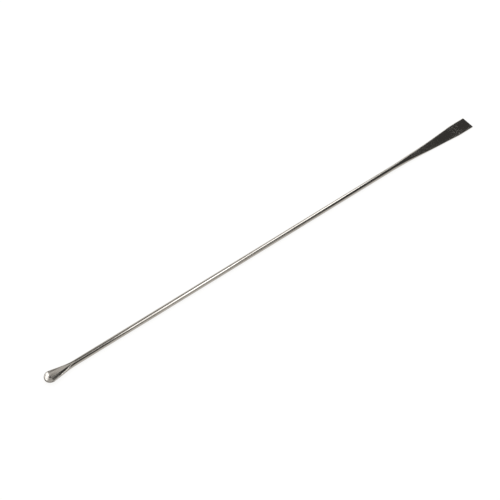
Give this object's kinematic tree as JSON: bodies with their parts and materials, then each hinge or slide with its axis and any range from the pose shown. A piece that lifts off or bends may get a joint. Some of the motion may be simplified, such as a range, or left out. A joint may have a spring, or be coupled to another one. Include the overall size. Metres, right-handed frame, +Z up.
{
  "type": "lab spatula",
  "caption": "Slim polished steel lab spatula: a round rod forged to a flat flared blade at one end and a small drop-shaped spoon at the other, for moving powder.",
  "frame": {"origin": "middle of the overall length, on the plane that the spatula lies on", "axes": "+X along the rod towards the blade, +Y across the blade, +Z up, with the bowl of the spoon open upwards"},
  "size_m": [0.2, 0.006, 0.002],
  "materials": {
    "steel": "polished"
  },
  "bodies": {
    "root": {"spoon": "steel", "rod": "steel", "blade": "steel"}
  },
  "joints": []
}
